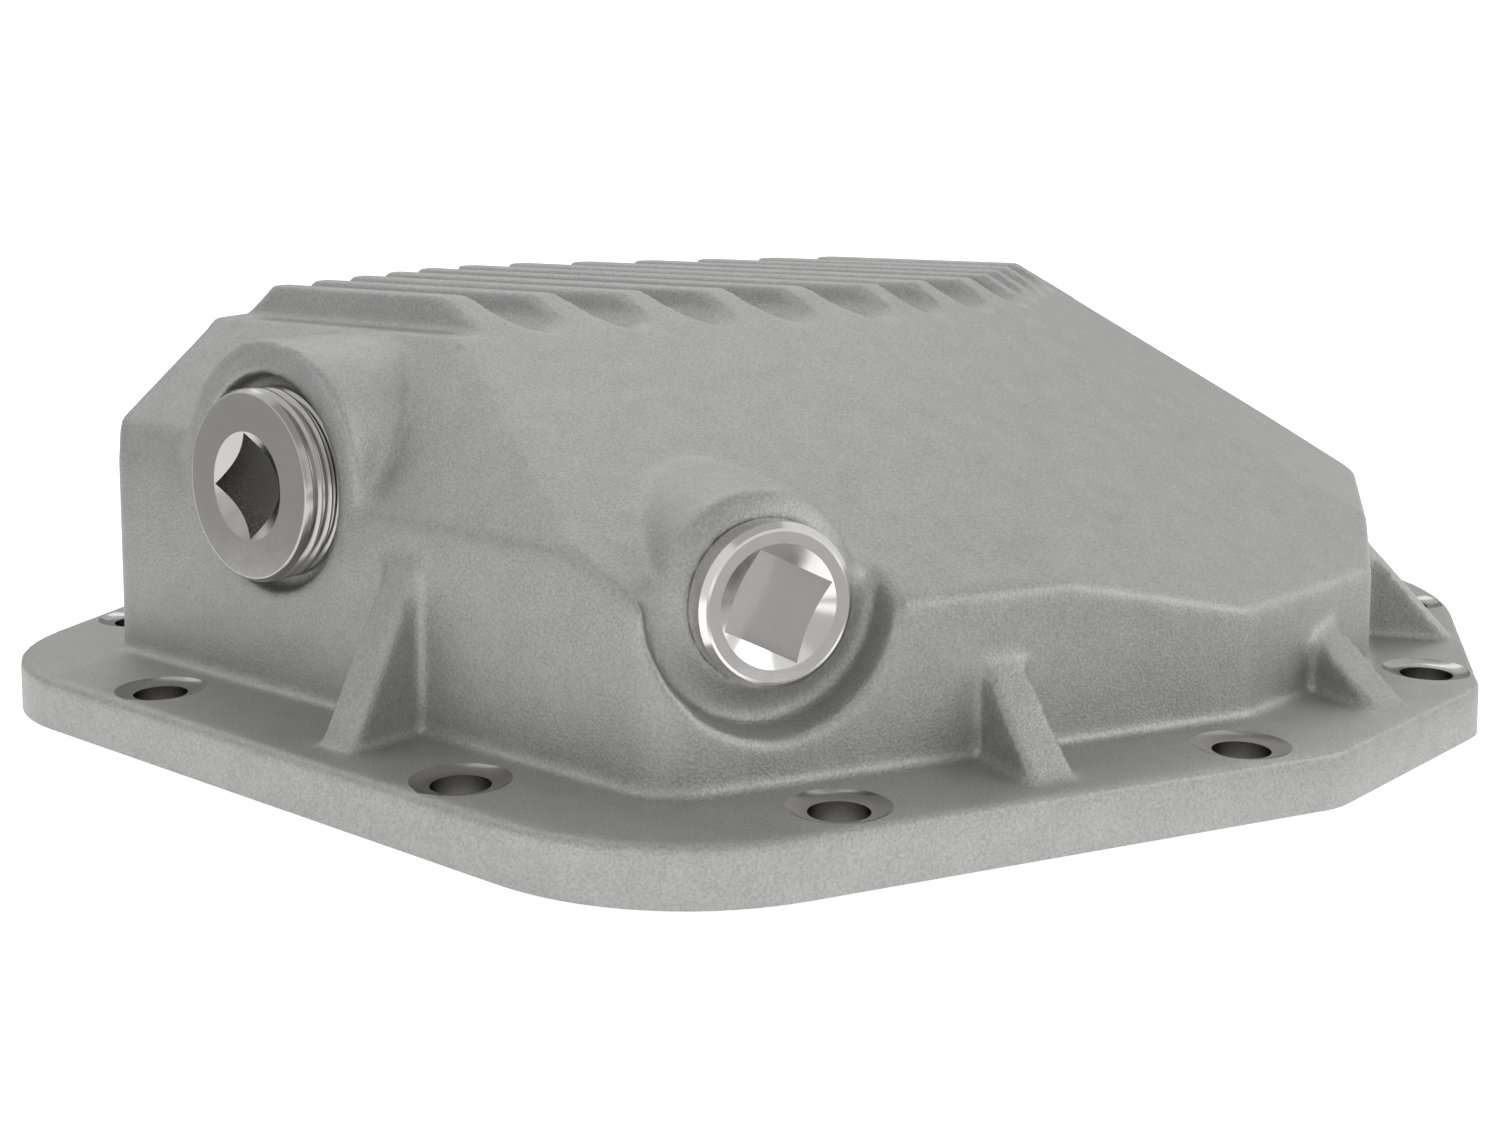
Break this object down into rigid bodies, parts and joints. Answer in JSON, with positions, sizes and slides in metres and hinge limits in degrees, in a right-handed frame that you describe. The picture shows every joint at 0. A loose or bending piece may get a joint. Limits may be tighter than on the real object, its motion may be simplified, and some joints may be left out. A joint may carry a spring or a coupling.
{
  "type": "differential cover",
  "caption": "Cast aluminium differential cover with a bolted flange, a faceted finned body and square-drive fill and drain plugs.",
  "frame": {"origin": "on the mating face, at the point about which the bolt holes repeat after half a turn", "axes": "+Z along the bolts, away from the axle housing; +X along the cooling fins; the fill plug faces -Y"},
  "size_m": [0.2854, 0.2766, 0.0842],
  "materials": {
    "casting": "raw sand-cast, matte",
    "fill_plug_metal": "satin",
    "drain_plug_metal": "bright machined"
  },
  "bodies": {
    "root": {"cover": "casting", "fill_plug": "fill_plug_metal", "drain_plug": "drain_plug_metal"}
  },
  "joints": []
}
